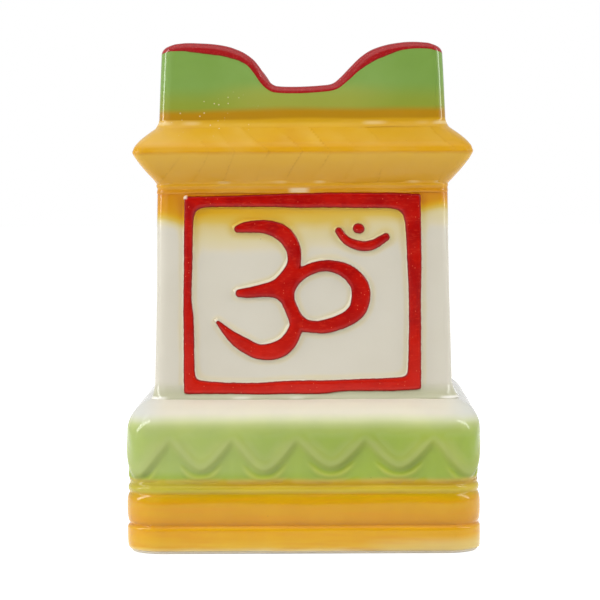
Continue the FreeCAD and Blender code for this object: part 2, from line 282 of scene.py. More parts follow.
class Glaze(Nodes):
    """A material with the noises, ramps and layers that the glazes are made of."""

    def __init__(self, name):
        self.material = bpy.data.materials.new(name)
        super().__init__(self.material, "OutputMaterial")
        self.surface = self.node("BsdfPrincipled")
        self.put(self.surface.outputs["BSDF"], self.shown)
        self.place = self.node("TexCoord").outputs["Object"]
        split = self.node("SeparateXYZ", {0: self.place})
        self.x, self.y, self.z = (self.value("MULTIPLY", out, 1 / MM) for out in split.outputs)

    def noise(self, size, detail=2, stretch=(1, 1, 1), roughness=0.5):
        """Noise of about this size in millimetres, longer along an axis where stretch is above 1."""
        scales = [1 / (MM * size * part) for part in stretch]
        scaled = self.node("VectorMath", {0: self.place, 1: scales}, operation="MULTIPLY").outputs[0]
        inputs = {"Vector": scaled, "Scale": 1, "Detail": detail, "Roughness": roughness}
        return self.node("TexNoise", inputs).outputs["Fac"]

    def drifting(self, value, size, amount, detail=2):
        """A value shifted by noise of a size in millimetres, by up to an amount either way."""
        shift = self.value("SUBTRACT", self.noise(size, detail), 0.5)
        return self.value("ADD", value, self.value("MULTIPLY", shift, 2 * amount))

    def near(self, value, centre, reach):
        """1 where the value is close to a centre, and 0 beyond the reach either way."""
        away = self.value("ABSOLUTE", self.value("SUBTRACT", value, centre))
        return self.step(away, reach, reach * 0.4)

    def mix(self, share, first, second, blend="MIX"):
        node = self.node("Mix", {"Factor": share}, data_type="RGBA", blend_type=blend)
        sockets = [socket for socket in node.inputs if socket.type == "RGBA"]
        self.put(first, sockets[0])
        self.put(second, sockets[1])
        return next(socket for socket in node.outputs if socket.type == "RGBA")

    def lay(self, tint, shown, *shares):
        """A tint with a screen colour laid over it, as strongly as some shares multiplied."""
        return self.mix(self.times(*shares), tint, colour(*shown))

    def specks(self, tint, size, radius, share, shown, where=1):
        """Fine specks: in some of the scattered cells, a small dot of another colour."""
        cells = self.node("TexVoronoi", {"Vector": self.place, "Scale": 1 / (MM * size)})
        chance = self.node("SeparateColor", {0: cells.outputs["Color"]}).outputs[0]
        distance = self.value("MULTIPLY", cells.outputs["Distance"], size)
        spot = self.step(distance, radius, radius * 0.4)
        return self.lay(tint, shown, spot, self.step(chance, 1 - share, 1.02 - share), where)

    def ramp(self, value, stops):
        """A colour for each value, from rising (value, red, green, blue) stops."""
        low = stops[0][0]
        span = stops[-1][0] - low
        share = self.value("DIVIDE", self.value("SUBTRACT", value, low), span)
        node = self.node("ValToRGB", {0: share})
        elements = node.color_ramp.elements
        elements[0].color = colour(*stops[0][1:])
        elements[1].color = colour(*stops[-1][1:])
        for place, *tint in stops[1:-1]:
            elements.new((place - low) / span).color = colour(*tint)
        return node.outputs[0]

    def attribute(self, name):
        return self.node("Attribute", attribute_name=name).outputs["Fac"]

    def bump(self, heights):
        """Relief from (value, millimetres) pairs, added up."""
        total = 0
        for value, amount in heights:
            total = self.value("ADD", total, self.value("MULTIPLY", value, amount))
        relief = self.node("Bump", {"Strength": 1, "Distance": MM, "Height": total})
        self.put(relief.outputs[0], self.surface.inputs["Normal"])

    def finish(self, tint, roughness, specular):
        inputs = {"Base Color": tint, "Roughness": roughness, "IOR": 1.5, "Specular IOR Level": specular}
        for name, value in inputs.items():
            self.put(value, self.surface.inputs[name])
        return self.material

    def glossy(self, tint, waviness, specular=0.5):
        """Finishes a fired glossy glaze: slow waves, orange-peel and small roughness changes."""
        self.bump([(self.noise(9, 1), waviness * 3), (self.noise(1.6), waviness * 0.35)])
        roughness = self.step(self.noise(6, 3), 0.25, 0.8, 0.09, 0.2)
        return self.finish(tint, roughness, specular)


def biscuit_material():
    glaze = Glaze("biscuit_clay")
    cloud = glaze.noise(14, 3)
    tint = glaze.lay(colour(240, 234, 222), (226, 216, 196), cloud)
    tint = glaze.specks(tint, 3, 0.35, 0.3, (150, 118, 80))
    grain = glaze.noise(0.7, 4, roughness=0.7)
    glaze.bump([(grain, 0.12), (cloud, 0.3)])
    return glaze.finish(tint, glaze.step(grain, 0.3, 0.7, 0.62, 0.85), 0.3)


def plinth_material():
    glaze = Glaze("plinth_glaze")
    level = glaze.drifting(glaze.z, 26, 0.9)
    # Band colours by level, with painted light in them: the paler foot below 3.2 mm and the lighter roll at
    # 28 mm are painted highlights, and the darker grooves at 12.3 mm and about 26 mm are painted shade
    band_stops = [
        (1.2, 240, 224, 176), (2, 236, 204, 120), (3.2, 227, 181, 50), (6.5, 223, 167, 22),
        (9.2, 222, 164, 14), (11.2, 224, 166, 14), (12.3, 206, 138, 0), (13.2, 206, 142, 8),
        (15.5, 213, 150, 22), (18, 214, 155, 18), (22, 213, 158, 10), (24.2, 208, 158, 0),
        (25.4, 196, 154, 0), (26.3, 192, 156, 4), (27, 197, 168, 34), (28, 205, 180, 56),
        (29.2, 197, 168, 40), (30, 184, 148, 26), (31, 186, 148, 36), (32.2, 190, 166, 60),
        (33.6, 174, 172, 68), (35, 150, 172, 62), (50, 150, 174, 64), (52.8, 160, 179, 88),
        (54.6, 168, 184, 102), (56.4, 182, 194, 128), (58.2, 203, 209, 158), (60, 214, 214, 182),
        (61.5, 221, 215, 196), (70, 222, 214, 200),
    ]
    valance_stops = [
        (-9, 148, 172, 62), (-1.6, 148, 170, 62), (-0.2, 152, 168, 72), (1, 162, 175, 90),
        (3.8, 160, 175, 86), (8, 149, 171, 66), (12, 148, 172, 60),
    ]
    valance = glaze.ramp(glaze.attribute("gap"), valance_stops)
    # The bead is painted lighter, a painted highlight along it
    valance = glaze.lay(valance, (172, 184, 76), glaze.attribute("bead"))
    # Painted shade: darker on the shaded right flank of each lobe, and a painted shadow line below the bead
    valance = glaze.lay(valance, (126, 144, 52), glaze.attribute("glaze_run_and_shade"), 0.7)
    belly = glaze.times(glaze.step(level, 31.8, 34.2), glaze.step(glaze.z, 54, 47.5))
    tint = glaze.mix(belly, glaze.ramp(level, band_stops), valance)
    olive = glaze.times(glaze.step(glaze.x, -22, -58), glaze.near(glaze.z, 29.6, 3.6))
    tint = glaze.lay(tint, (178, 174, 60), olive, 0.6)
    # Painted light: the belly and shoulder paler towards the left, where the light falls more strongly
    left_light = glaze.times(glaze.step(glaze.x, 30, -60), glaze.step(glaze.z, 33, 37))
    tint = glaze.lay(tint, (178, 192, 132), left_light, glaze.step(glaze.z, 60, 52), 0.35)
    # Painted highlight: the shoulder's corners at both ends laid near white
    ends = glaze.step(glaze.value("ABSOLUTE", glaze.x), 58, 74)
    tint = glaze.lay(tint, (210, 213, 210), ends, glaze.step(glaze.z, 56, 62), 0.8)
    cloud = glaze.step(glaze.noise(19, 3), 0.3, 0.75, 0, 0.25)
    tint = glaze.mix(cloud, tint, (0.88, 0.84, 0.55, 1), "SOFT_LIGHT")
    brushed = glaze.noise(9, 3, stretch=(4, 4, 0.3), roughness=0.6)
    patch = glaze.step(brushed, 0.42, 0.7, 0, 0.5)
    tint = glaze.lay(tint, (220, 150, 20), patch, glaze.step(glaze.z, 27.5, 26))
    pale = glaze.step(glaze.drifting(glaze.x, 24, 30), 15, 60)
    tint = glaze.lay(tint, (224, 202, 130), pale, glaze.step(glaze.z, 8.5, 3.5), 0.7)
    tint = glaze.specks(tint, 7.5, 0.26, 0.2, (96, 78, 40))
    tint = glaze.specks(tint, 5, 0.2, 0.12, (236, 220, 170))
    return glaze.glossy(tint, 0.035, 0.32)


def cream_tint(glaze):
    """Cream glaze, with the yellow that ran over it, and at the foot of the shaft a green tinge darkened by
    painted shade along the joint.
    """
    cream = glaze.lay(colour(218, 213, 199), (209, 203, 186), glaze.noise(30))
    wash = glaze.drifting(glaze.attribute("wash"), 13, 0.035)
    wash_stops = [
        (0, 220, 212, 194), (0.2, 217, 204, 158), (0.45, 215, 184, 84),
        (0.7, 216, 166, 30), (0.88, 212, 148, 8), (1, 204, 130, 4),
    ]
    tint = glaze.mix(glaze.step(wash, 0.02, 0.12), cream, glaze.ramp(wash, wash_stops))
    level = glaze.drifting(glaze.z, 18, 1.2)
    # A darker greenish band at the shaft's foot: a green tinge, and painted shade along the joint
    tint = glaze.lay(tint, (178, 180, 138), glaze.step(level, 75.5, 68.6), 0.65)
    return glaze.lay(tint, (222, 216, 194), glaze.step(level, 67.6, 65.8))


def cream_material():
    glaze = Glaze("cream_glaze")
    tint = glaze.specks(cream_tint(glaze), 9, 0.28, 0.25, (160, 146, 120))
    # Painted highlights along the slip's ridge and at its corners
    tint = glaze.lay(tint, (250, 247, 238), glaze.attribute("pale"))
    return glaze.glossy(tint, 0.03)


def yellow_material():
    glaze = Glaze("yellow_glaze")
    stops = [
        (156, 206, 134, 6), (158.2, 206, 138, 10), (160.6, 216, 158, 26), (162.4, 218, 160, 28),
        (167, 218, 165, 38), (173.8, 222, 174, 50), (175, 210, 150, 14), (175.8, 214, 156, 4),
        (178.4, 214, 156, 4), (180.6, 217, 164, 14), (185, 216, 164, 20), (187.6, 212, 166, 30),
        (189.4, 200, 154, 24), (191, 182, 132, 12),
    ]
    tint = glaze.ramp(glaze.drifting(glaze.z, 14, 0.5), stops)
    stroke = glaze.attribute("stroke")
    upper = glaze.step(glaze.z, 176.5, 179.5)
    patchy = glaze.step(glaze.noise(21), 0.42, 0.6)
    tint = glaze.lay(tint, (226, 180, 66), glaze.step(stroke, 0.15, 1), upper, patchy, 0.5)
    line = glaze.times(glaze.step(stroke, 0.12, 0.02), glaze.step(stroke, 0.001, 0.01))
    tint = glaze.lay(tint, (170, 112, 10), line, patchy, 0.3)
    cloud = glaze.noise(17, 3, stretch=(1.6, 1.6, 0.8))
    tint = glaze.lay(tint, (220, 172, 66), glaze.step(cloud, 0.4, 0.75, 0, 0.4))
    tint = glaze.lay(tint, (206, 144, 10), glaze.step(cloud, 0.45, 0.2, 0, 0.4))
    # Painted light and shade: the upper face lighter at its left end and deeper towards the right
    tint = glaze.lay(tint, (238, 200, 124), glaze.step(glaze.x, -40, -68), upper, 0.3)
    tint = glaze.lay(tint, (204, 152, 22), glaze.step(glaze.x, 5, 50), upper, 0.5)
    # Painted highlights along the slip rings' ridges and at their corners
    tint = glaze.lay(tint, (238, 214, 158), glaze.attribute("pale"), 0.75)
    front = glaze.step(glaze.y, 0, -20)
    chip = glaze.times(glaze.near(glaze.x, -1.6, 5.5), glaze.near(glaze.z, 158.2, 1.7), front)
    tint = glaze.lay(tint, (228, 206, 164), chip, 0.8)
    tint = glaze.specks(tint, 6.5, 0.26, 0.14, (140, 96, 40))
    pitted = glaze.times(glaze.near(glaze.x, -40, 22), glaze.near(glaze.z, 187, 6), front)
    tint = glaze.specks(tint, 1.9, 0.34, 0.45, (236, 222, 190), pitted)
    return glaze.glossy(tint, 0.04, 0.3)


def crown_material():
    glaze = Glaze("green_glaze")
    tint = glaze.lay(colour(136, 169, 88), (113, 150, 58), glaze.noise(26, 3))
    glaze_run_and_shade = glaze.drifting(glaze.z, 30, 0.7, 1)
    glaze_run_and_shade = glaze.value("SUBTRACT", glaze_run_and_shade, glaze.step(glaze.x, -55, -5, -0.9, 0.3))
    tint = glaze.lay(tint, (144, 154, 46), glaze.step(glaze_run_and_shade, 206, 195.5, 0, 0.8))
    middle = glaze.times(glaze.near(glaze.x, 0, 45), glaze.step(glaze.z, 208, 200))
    tint = glaze.lay(tint, (172, 170, 76), middle, 0.4)
    tint = glaze.lay(tint, (180, 132, 8), glaze.step(glaze_run_and_shade, 195.6, 192))
    tint = glaze.lay(tint, (206, 160, 22), glaze.step(glaze_run_and_shade, 190.4, 188.8))
    tint = glaze.specks(tint, 6.5, 0.3, 0.2, (168, 178, 116))
    front = glaze.step(glaze.y, 0, -20)
    pitted = glaze.times(glaze.near(glaze.x, -40, 24), glaze.near(glaze.z, 192, 11), front)
    tint = glaze.specks(tint, 2.1, 0.4, 0.5, (222, 208, 162), pitted)
    tint = glaze.specks(tint, 3.7, 0.5, 0.4, (150, 104, 56), pitted)
    rough = glaze.step(glaze.noise(0.8), 0.5, 0.75, 0, 0.5)
    red = glaze.lay(colour(160, 16, 20), (190, 62, 60), rough)
    paint = glaze.drifting(glaze.attribute("paint"), 3, 0.2)
    tint = glaze.mix(glaze.step(paint, -0.12, 0.12), tint, red)
    tint = glaze.lay(tint, (112, 14, 14), glaze.near(paint, 0.12, 0.4), 0.6)
    return glaze.glossy(tint, 0.03)


def red_material():
    glaze = Glaze("red_glaze")
    red = glaze.lay(colour(162, 0, 0), (186, 12, 0), glaze.step(glaze.noise(8), 0.3, 0.7))
    brushed = glaze.noise(1, 3, stretch=(2.5, 1, 0.8))
    red = glaze.lay(red, (206, 52, 30), glaze.step(brushed, 0.5, 0.75, 0, 0.45))
    lower = glaze.drifting(glaze.z, 16, 14)
    red = glaze.lay(red, (212, 36, 16), glaze.step(lower, 116, 74, 0, 0.5))
    red = glaze.specks(red, 1.6, 0.3, 0.35, (214, 92, 66))
    paint = glaze.drifting(glaze.attribute("paint"), 2.6, 0.2)
    tint = glaze.mix(glaze.step(paint, -0.1, 0.1), cream_tint(glaze), red)
    tint = glaze.lay(tint, (118, 2, 4), glaze.near(paint, 0.2, 0.45), 0.7)
    # A painted highlight at the frame's top-left corner, laid as a near-white spot bare of red
    bare_corner_highlight = glaze.times(glaze.near(glaze.x, -51.7, 1.6), glaze.near(glaze.z, 156, 1.6))
    tint = glaze.lay(tint, (240, 228, 212), bare_corner_highlight, 0.85)
    return glaze.glossy(tint, 0.03, 0.2)


biscuit = biscuit_material()
plinth_glaze = plinth_material()
cream_glaze = cream_material()
yellow_glaze = yellow_material()
crown_glaze = crown_material()
red_glaze = red_material()


# Floor slab

def make_floor_slab():
    ring = stations(even_cuts(24), 8)
    # The foot's outer edge, the plug inside the plinth, and the recess below
    foot_half, foot_corner = 76.2, 14
    plug_half, plug_corner = 71.9, 9.7
    recess_half = 67.2
    bevelled = [
        (foot_half - 1.4, foot_corner - 1.4, 0), (foot_half - 0.5, foot_corner - 0.5, 0.2),
        (foot_half, foot_corner, 0.7), (foot_half, foot_corner, 1.15),
        (plug_half, plug_corner, 1.15), (plug_half, plug_corner, 7.5),
        (plug_half - 0.5, plug_corner - 0.5, 8),
    ]
    drain = [(40, 8), (7.2, 8), (6.3, 7.8), (6, 7.3), (6, 1.9), (6.7, 1.2), (40, 1.2)]
    recess = [
        (recess_half - 0.6, INNER_CORNER, 1.2), (recess_half, INNER_CORNER + 0.5, 0.6),
        (recess_half + 0.6, INNER_CORNER + 1, 0),
    ]
    rows = [row(ring, *place) for place in bevelled]
    rows += [round_row(ring, *place) for place in drain]
    rows += [row(ring, *place) for place in recess]
    ring_piece("floor_slab_cast", rows, ["floor_slab"], [biscuit])


# Plinth with its bands, bead and scalloped valance

# Where the lobes of the valance meet along the front and the other sides, from the middle
PEAKS = [[-58.4, -31.2, -3, 26.8, 56.6]] + [[-57.8, -28.9, 0, 28.9, 57.8]] * 3
LOBES = 20
LOBE_PITCH = 28.9
LOBE_STEPS = 34
PEAK_LEVEL = 49.8
TIP_LEVEL = 34.2
# The tips of the lobes from the front's left corner to its right one
FRONT_TIPS = [33.6, 36.9, 36.4, 38, 37.7, 33.6]
BLUNTNESS = 0.42
GROUND_FOOT = 31.3
VALANCE_RELIEF = 1.2
UPPER_ROWS = 16
# How far the right side stands in, by level
SLACK_LEVELS = [1.2, 2.6, 4, 30, 32.5, 37, 44, 54, 64]
SLACKS = [-0.2, 0.2, 0.4, 0.4, 0, 0, 0.5, 0.5, 0]
# The bands, groove and bead, as (level, how far in)
MOULDINGS = [
    (1.2, 2.6), (1.25, 1.8), (1.6, 1.15), (2.4, 0.7), (3.8, 0.42), (6.2, 0.3), (9.4, 0.24),
    (10.6, 0.22), (11.3, 0.36), (11.8, 0.7), (12.2, 1.15), (12.55, 1.3), (12.9, 1.15),
    (13.4, 0.85), (14.1, 0.58), (15.2, 0.36), (16.8, 0.2), (19, 0.1), (21.5, 0.1), (23, 0.17),
    (24, 0.33), (24.9, 0.58), (25.6, 0.88), (26.1, 1.15), (26.45, 1.2), (26.9, 0.98),
    (27.5, 0.7), (28.2, 0.6), (28.9, 0.7), (29.5, 1), (29.95, 1.36), (30.4, 1.5),
    (GROUND_FOOT, 1.5),
]


def plinth_stations():
    """Stations packed evenly across each lobe, with one where two lobes meet."""
    reach = PLINTH_HALF - PLINTH_CORNER
    cuts = []
    for peaks in PEAKS:
        marks = [-reach, *peaks, reach]
        places = [-reach]
        for start, end in zip(marks, marks[1:]):
            steps = max(4, round(LOBE_STEPS * (end - start) / LOBE_PITCH))
            places += list(np.linspace(start, end, steps + 1)[1:])
        cuts.append(np.array(places) / reach)
    return stations(cuts, 18)


def lobe_places(ring):
    """For each station its place across its lobe, -0.5 to 0.5, and the lobe's number and width."""
    outline = row(ring, PLINTH_HALF, PLINTH_CORNER, 0)[:, :2]
    gaps = np.linalg.norm(np.roll(outline, -1, axis=0) - outline, axis=1)
    run = np.concatenate([[0], np.cumsum(gaps)])
    total = run[-1]
    run = run[:-1]
    marks = []
    for (out, along), peaks in zip(SIDES, PEAKS):
        for peak in peaks:
            spot = out * PLINTH_HALF + along * peak
            marks.append(run[np.argmin(np.linalg.norm(outline - spot, axis=1))])
    passed = np.searchsorted(marks, run, side="right")
    marks = np.array([marks[-1] - total, *marks, marks[0] + total])
    width = marks[passed + 1] - marks[passed]
    return (run - marks[passed]) / width - 0.5, (passed - 1) % LOBES, width


def profile_inset(way):
    """How far in the belly and shoulder stand, and their level, at a way up the profile."""
    turn = np.clip((way - SHOULDER_FOOT) / SHOULDER, 0, math.pi / 2)
    belly = 0.35 * np.clip((SHOULDER_FOOT - way) / 20, 0, 1)
    inset = np.where(turn > 0, SHOULDER * (1 - np.cos(turn)), belly)
    level = np.where(turn > 0, SHOULDER_FOOT + SHOULDER * np.sin(turn), way)
    return inset, level


def make_plinth():
    ring = plinth_stations()
    across, number, width = lobe_places(ring)
    tips = TIP_LEVEL + np.random.default_rng(11).uniform(-0.7, 0.7, LOBES)
    tips[[-1, 0, 1, 2, 3, 4]] = FRONT_TIPS
    tip = tips[number]
    share = np.abs(across) * 2
    blunted = np.sqrt(share ** 2 + BLUNTNESS ** 2)
    rise = (PEAK_LEVEL - tip) / (math.sqrt(1 + BLUNTNESS ** 2) - BLUNTNESS)
    edge = tip + rise * (blunted - BLUNTNESS)
    for _ in range(2):
        edge = (np.roll(edge, 1) + edge + np.roll(edge, -1)) / 3
    tilt = np.sqrt(1 + (rise * share / blunted * 2 / width) ** 2)
    # The right half of each lobe lies in shade and is painted darker; the trough is the middle, where the
    # bead runs and is painted lighter
    shaded = smooth(across / 0.16)
    shaded = (np.roll(shaded, -1) + shaded + np.roll(shaded, 1)) / 3
    shaded = (np.roll(shaded, -3) + shaded + np.roll(shaded, 1)) / 3
    trough = 1 - smooth((np.abs(across) - 0.2) / 0.2)
    faint = (1 - shaded) * (1 - trough)
    wobble = waves(10, 90, 30, 3)
    rightward = np.clip(ring[1][:, 0], 0, 1)
    rows = []
    shown = {"gap": [], "glaze_run_and_shade": [], "bead": []}

    def add(points, gap=-9, glaze_run_and_shade=0, bead=0):
        rows.append(points)
        for key, number in (("gap", np.clip(gap, -9, 12)), ("glaze_run_and_shade", glaze_run_and_shade), ("bead", bead)):
            shown[key].append(np.broadcast_to(np.asarray(number, float), len(points)))

    def outside_row(level, inset):
        half = PLINTH_HALF - inset
        radius = PLINTH_CORNER - inset
        flat = row(ring, half, radius, level)
        slack = np.interp(flat[:, 2], SLACK_LEVELS, SLACKS) * rightward
        return row(ring, half, radius, level, unevenness(flat, wobble) * 0.18 - slack)

    for level, inset in MOULDINGS:
        add(outside_row(level, inset))
    # Ways up the profile: from the ground past the lobes' edge, then evenly up to the shoulder's top
    offsets = [-6.2, *np.arange(-5.6, 1, 0.5), 1.5, 2.2, 3, 3.9, 5, 6.4]
    ways = []
    for count, offset in enumerate(offsets, 3):
        ways.append(np.maximum(edge + offset * tilt, GROUND_FOOT + 0.22 * count))
    ways = [GROUND_FOOT + (ways[0] - GROUND_FOOT) * part for part in (0.33, 0.67)] + ways
    last = ways[-1]
    top = SHOULDER_FOOT + SHOULDER * math.pi / 2 - 0.45
    ways += [last + (top - last) * step / UPPER_ROWS for step in range(1, UPPER_ROWS + 1)]
    for way in ways:
        gap = (way - edge) / tilt
        inset, level = profile_inset(way)
        fade = 1 - smooth((level - 51) / 8)
        slope = 1 - smooth((gap + 2.2 + 0.6 * faint) / (3.1 + 1.6 * faint))
        fall = VALANCE_RELIEF * (0.75 + 0.6 * shaded) * slope
        bead = trough * hump(gap, -3.5, 1.7) * smooth((level - 31.6) / 1.2)
        sunk = 0.3 * smooth((gap - 2.2) / 3) * fade * (1 - smooth((gap - 8) / 6))
        # Painted shade on the lobes' shaded flanks, and a painted shadow line below the bead
        glaze_run_and_shade = (0.35 * trough + 0.75 * shaded) * hump(gap, -1.1, 2.5)
        glaze_run_and_shade = glaze_run_and_shade + 0.45 * trough * hump(gap, -5.6, 1)
        add(outside_row(level, inset + fall - 0.55 * bead + sunk), gap, glaze_run_and_shade, bead)
    well_half = SHAFT_FOOT_HALF - WALL
    add(row(ring, well_half + 1.5, INNER_CORNER, PLINTH_TOP))
    outside_rows = len(rows)
    roof = PLINTH_TOP - PLINTH_WALL
    hollow_half = PLINTH_HALF - PLINTH_WALL
    hollow_corner = PLINTH_CORNER - PLINTH_WALL
    bevel = 5
    inner = [
        (well_half, INNER_CORNER, PLINTH_TOP - 0.6), (well_half, INNER_CORNER, roof),
        (hollow_half - bevel, hollow_corner - bevel, roof), (hollow_half, hollow_corner, roof - bevel),
        (hollow_half, hollow_corner, 30), (hollow_half, hollow_corner, 1.6),
    ]
    for place in inner:
        add(row(ring, *place))
    materials = [plinth_glaze, biscuit]
    ring_piece("plinth_cast", rows, ["plinth"], materials, outside_rows, shown)


# Painted ornament on the front of the shaft

def distance_inside(points, strokes):
    """How far inside the painted strokes each point lies, in millimetres, below 0 outside."""
    blend = 0.5
    best = np.full(len(points), -1e6)
    for knots in strokes:
        dense = averaged(spaced(curve_through(knots, 10), 0.35), 6)
        gaps = np.linalg.norm(points[:, None, :] - dense[None, :, :2], axis=2)
        inside = (dense[None, :, 2] / 2 - gaps).max(1)
        best = blend * np.logaddexp(best / blend, inside / blend)
    return best


def soft_least(values, blend):
    """The least of some distances, rounded off where two of them meet."""
    return -blend * np.log(sum(np.exp(-value / blend) for value in values))


# The hand-painted frame's left, right, top and bottom edges: how far across at a height, or how
# far up at a place across
OUTER_EDGES = [
    [(69, -52.5), (90, -52.6), (120, -52.2), (157, -51.7)],
    [(69, 51.7), (110, 51.7), (135, 52), (157, 51.8)],
    [(-52, 156), (-34, 156.1), (-16, 156.6), (2, 157.1), (30, 157.2), (52, 156.6)],
    [(-52, 69.3), (-10, 69.2), (8, 69.4), (18, 70.2), (40, 70.4), (52, 70.9)],
]
INNER_EDGES = [
    [
        (75, -47.4), (84, -47.7), (103, -48), (112, -48.8), (125, -48.6),
        (142, -48), (152, -47.8),
    ],
    [(75, 45.6), (90, 46.1), (108, 46.3), (128, 45.6), (140, 45), (152, 44.2)],
    [(-48, 151.2), (-20, 151.2), (4, 150.7), (30, 150.5), (46, 150.2)],
    [
        (-48, 75.4), (-36, 74.4), (-22, 74), (-8, 74.7), (16, 75.2), (38, 76.1),
        (46, 76.6),
    ],
]


def edge_distances(points, edges):
    """How far inside each of four edges the points lie."""
    x, z = points.T
    left, right, top, bottom = (curve_through(knots, 6).T for knots in edges)
    sideways = [x - np.interp(z, *left), np.interp(z, *right) - x]
    return sideways + [np.interp(x, *top) - z, z - np.interp(x, *bottom)]


def frame_field(points):
    """Distance inside the painted band of the frame, with its hand-painted wavy edges."""
    wave = waves(10, 60, 14, 41)
    stirred = np.column_stack([points, np.zeros(len(points))])
    roundness = 1.1 + 1.3 * smooth((points[:, 1] - 125) / 20)
    outer = soft_least(edge_distances(points, OUTER_EDGES), 0.5) + 0.12 * unevenness(stirred, wave)
    inner = soft_least(edge_distances(points, INNER_EDGES), roundness)
    return np.minimum(outer, -inner - 0.12 * unevenness(stirred + 31, wave))


# The strokes of the sign, as (across, up, width) along the middle of each
UPPER_BOWL = [
    (-28.4, 141.6, 3.2), (-25, 142.3, 4.8), (-16.6, 142.5, 5.9), (-9, 139.8, 7.2),
    (-4.4, 133.7, 6.6), (-3.7, 127.3, 5.8), (-5.4, 122.5, 6.2), (-10.2, 116.1, 7.9),
    (-16.8, 114.7, 5.8), (-25, 113.5, 4.3), (-27.8, 113.4, 3.5),
]
LOWER_BOWL = [
    (-10.2, 114.2, 6.6), (-6, 109.1, 5.2), (-3.9, 102.7, 5), (-3.2, 98.3, 5.7),
    (-6.3, 92.1, 7), (-11.5, 88.4, 7.7), (-19.4, 87.7, 6.6), (-27.1, 91.5, 6.1),
    (-32.1, 95.3, 4.4), (-37.3, 100.6, 1.6),
]
LOOP = [
    (-6.4, 111.6, 5), (-5.9, 115.6, 5.4), (-3.3, 119.8, 5.6), (0.8, 122.7, 5.2),
    (7.4, 125.1, 4.8), (14, 124.9, 5.3), (20.2, 122.2, 6.6), (24.5, 117.3, 7.7),
    (25.5, 112.7, 8.3), (24, 106.1, 7.6), (18.9, 101.8, 6.6), (10.3, 98.8, 6.1),
    (3.9, 98.6, 5.2), (-0.8, 99.9, 6), (-4.3, 104.6, 5.2), (-6.2, 108.4, 5),
]
CRESCENT = [
    (15.8, 140.5, 3.2), (19.2, 136.2, 3.7), (25.2, 133.9, 4.3), (30.6, 134.3, 4.4), (36.3, 137.7, 3.5),
]
DOT = [(24.1, 141.6, 4.3), (24.5, 141.5, 4.5), (24.9, 141.4, 4.3)]
SIGN_STROKES = [UPPER_BOWL, LOWER_BOWL, LOOP, CRESCENT, DOT]


# Shaft

shaft_waves = waves(9, 120, 45, 5)


def shaft_share(level):
    """How far up the shaft a level lies, from 0 at its foot to 1 at its head."""
    return (level - PLINTH_TOP) / (SHAFT_TOP - PLINTH_TOP)


def shaft_half(level):
    return SHAFT_FOOT_HALF + (SHAFT_HEAD_HALF - SHAFT_FOOT_HALF) * shaft_share(level)


def shaft_push(points):
    """Slow unevenness of the shaft's faces, and how they draw in between foot and head."""
    drawn = -0.22 * np.sin(np.clip(shaft_share(points[:, 2]), 0, 1) * math.pi)
    return unevenness(points, shaft_waves) * 0.16 + drawn


def shaft_wash(points):
    """How strongly the yellow glaze that ran down from the cornice covers each point of the shaft."""
    x, y, z = points.T
    level = z + unevenness(points, waves(8, 70, 24, 63)) * 1.4
    across = np.where(np.abs(y) > np.abs(x), np.abs(x), np.abs(y))
    knee = 142.8 + 1.5 * smooth((across - 54.5) / 8.5) + 3.6 * np.clip(x / 55, -1, 1)
    margin = 0.3 * smooth((level - 134) / 20) + 0.64 * smooth((level - knee) / 8)
    panel = 0.27 * smooth((level - 141.5) / 8) + 0.28 * smooth((level - 126) / 22)
    panel = panel * (1 - 0.26 * x / 50) - 0.1 * smooth((z - 149) / 2)
    front = y < CORNER - SHAFT_HEAD_HALF
    wash = np.where(front & (np.abs(x) < 51) & (z < 153.5), panel, margin)
    wash = np.maximum(wash, smooth((z - 154.5) / 2))
    # A little glaze pools along the edges of the raised sign and frame
    faced = points[front][:, [0, 2]]
    signed = distance_inside(faced, SIGN_STROKES)
    framed = frame_field(faced)
    wash[front] += (np.exp(-((signed + 1.4) / 1.5) ** 2) + np.exp(-((framed + 1.4) / 1.6) ** 2)) * 0.1
    return wash


def make_shaft():
    ring = stations(even_cuts(120), 10)
    below = PLINTH_TOP - 0.05
    rows = [row(ring, SHAFT_FOOT_HALF - 0.4, CORNER, below)]
    for level in np.linspace(PLINTH_TOP + 0.3, SHAFT_TOP, 84):
        flat = row(ring, shaft_half(level), CORNER, level)
        rows.append(row(ring, shaft_half(level), CORNER, level, shaft_push(flat)))
    outside_rows = len(rows)
    for level in (SHAFT_TOP, 130, 100, below):
        rows.append(row(ring, shaft_half(level) - WALL, INNER_CORNER, level))
    values = {"wash": [shaft_wash(points) for points in rows]}
    materials = [cream_glaze, biscuit]
    ring_piece("shaft_cast", rows, ["shaft"], materials, outside_rows, values)


# Cornice

# The lower slope as (level, half width), and the upper slope's fullness at shares of its height
LOWER_SLOPE = [
    (SHAFT_TOP, 63.9), (163.7, 66.2), (166.3, 68.5), (168.9, 70.6), (171.5, 72.5), (173.9, 73.9),
]
NOSE = [(174.4, 74.15), (174.9, 74.35), (NOSE_LEVEL, CORNICE_HALF), (175.8, 74.3), (176.3, 74.05)]
FULLNESS = [
    (0, 0), (0.1, 0.75), (0.25, 1.25), (0.4, 1.2), (0.6, 0.6), (0.8, -0.25), (0.9, -0.35), (1, 0),
]


